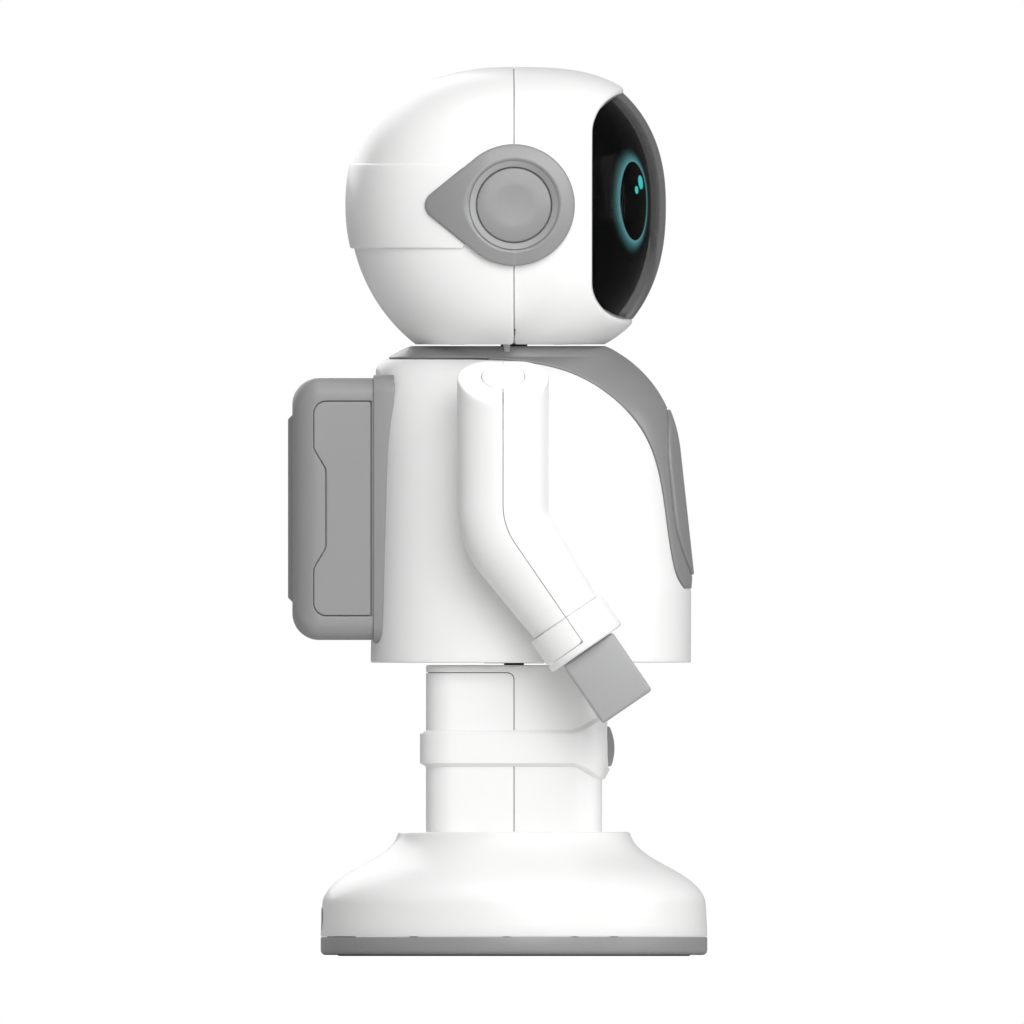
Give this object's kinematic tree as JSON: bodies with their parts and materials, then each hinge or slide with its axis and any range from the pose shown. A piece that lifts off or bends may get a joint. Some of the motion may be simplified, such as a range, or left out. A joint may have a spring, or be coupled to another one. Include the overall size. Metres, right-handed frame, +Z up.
{
  "type": "coding robot",
  "caption": "Desk-top coding robot shaped like an astronaut, with a turning head and waist, swinging arms, a smoked visor, a speaker backpack and a weighted oval base.",
  "frame": {"origin": "on the ground under the waist's turning axis, at the centre of the rubber pad's underside", "axes": "+Z up along the waist axis; the robot faces -Y; its left arm is on +X"},
  "size_m": [0.1518, 0.1258, 0.2667],
  "materials": {
    "white_shell": "satin white moulded plastic",
    "grey_shell": "fine-grained mid grey plastic",
    "light_grey": "fine-grained light grey plastic",
    "dark_face": "gloss black",
    "smoked_lens": "smoked clear plastic",
    "eye_display": "black with a lit teal ring",
    "black_plastic": "matt black",
    "rubber": "matt",
    "screw_steel": "zinc plated",
    "ballast_steel": "rolled steel",
    "board": "green solder mask",
    "cell_wrap": "blue shrink wrap",
    "connector_steel": "bright tin",
    "speaker_frame": "black"
  },
  "bodies": {
    "base": {"base_tray": "grey_shell", "base_bell": "white_shell", "rubber_pad": "rubber", "ballast_plate": "ballast_steel", "battery_cells": "cell_wrap", "charge_board": "board", "usb_port": "connector_steel", "power_switch": "black_plastic", "base_screws": "screw_steel", "leg_front_shell": "white_shell", "leg_back_shell": "white_shell", "right_knee_insert": "grey_shell", "left_knee_insert": "grey_shell", "waist_motor": "black_plastic", "leg_screws": "screw_steel"},
    "power_button": {"power_button": "light_grey"},
    "torso": {"torso_shell": "white_shell", "chest_yoke": "grey_shell", "chest_panel": "light_grey", "torso_floor": "white_shell", "torso_floor_screws": "screw_steel", "waist_hub": "black_plastic", "main_board": "board", "neck_motor": "black_plastic", "right_shoulder_motor": "black_plastic", "left_shoulder_motor": "black_plastic", "right_shoulder_bush": "light_grey", "left_shoulder_bush": "light_grey", "backpack_shell": "grey_shell", "back_grille": "grey_shell", "speaker": "speaker_frame", "right_pack_panel": "grey_shell", "left_pack_panel": "grey_shell", "pack_screws": "screw_steel"},
    "head": {"head_front_shell": "white_shell", "head_back_shell": "white_shell", "head_base_plate": "light_grey", "head_screws": "screw_steel", "neck_flange": "black_plastic", "visor_lens": "smoked_lens", "face_panel": "dark_face", "right_eye": "eye_display", "left_eye": "eye_display", "face_board": "board", "eye_lights": "light_grey", "right_ear_cap": "grey_shell", "left_ear_cap": "grey_shell", "ear_switches": "black_plastic"},
    "right_ear_button": {"right_ear_button": "light_grey"},
    "left_ear_button": {"left_ear_button": "light_grey"},
    "right_arm": {"right_arm_front": "white_shell", "right_arm_back": "white_shell", "right_hand": "light_grey", "right_shoulder_shaft": "light_grey"},
    "left_arm": {"left_arm_front": "white_shell", "left_arm_back": "white_shell", "left_hand": "light_grey", "left_shoulder_shaft": "light_grey"}
  },
  "joints": [
    {"name": "waist_turn", "type": "hinge", "parent": "base", "child": "torso", "pos_m": [0, 0, 0.0873], "axis": [0, 0, 1], "range_deg": [-45, 45]},
    {"name": "head_turn", "type": "hinge", "parent": "torso", "child": "head", "pos_m": [0, 0, 0.1834], "axis": [0, 0, 1], "range_deg": [-60, 60]},
    {"name": "right_shoulder", "type": "hinge", "parent": "torso", "child": "right_arm", "pos_m": [-0.0483, 0.0033, 0.1668], "axis": [-1, 0, 0], "range_deg": [-40, 110]},
    {"name": "left_shoulder", "type": "hinge", "parent": "torso", "child": "left_arm", "pos_m": [0.0483, 0.0033, 0.1668], "axis": [-1, 0, 0], "range_deg": [-40, 110]},
    {"name": "right_ear_press", "type": "slide", "parent": "head", "child": "right_ear_button", "axis": [1, 0, 0], "range_m": [0, 0.001], "stiffness_N_per_m": 900, "springref_m": -0.0005},
    {"name": "left_ear_press", "type": "slide", "parent": "head", "child": "left_ear_button", "axis": [-1, 0, 0], "range_m": [0, 0.001], "stiffness_N_per_m": 900, "springref_m": -0.0005},
    {"name": "power_press", "type": "slide", "parent": "base", "child": "power_button", "axis": [0, -1, 0], "range_m": [0, 0.001], "stiffness_N_per_m": 900, "springref_m": -0.0005}
  ]
}
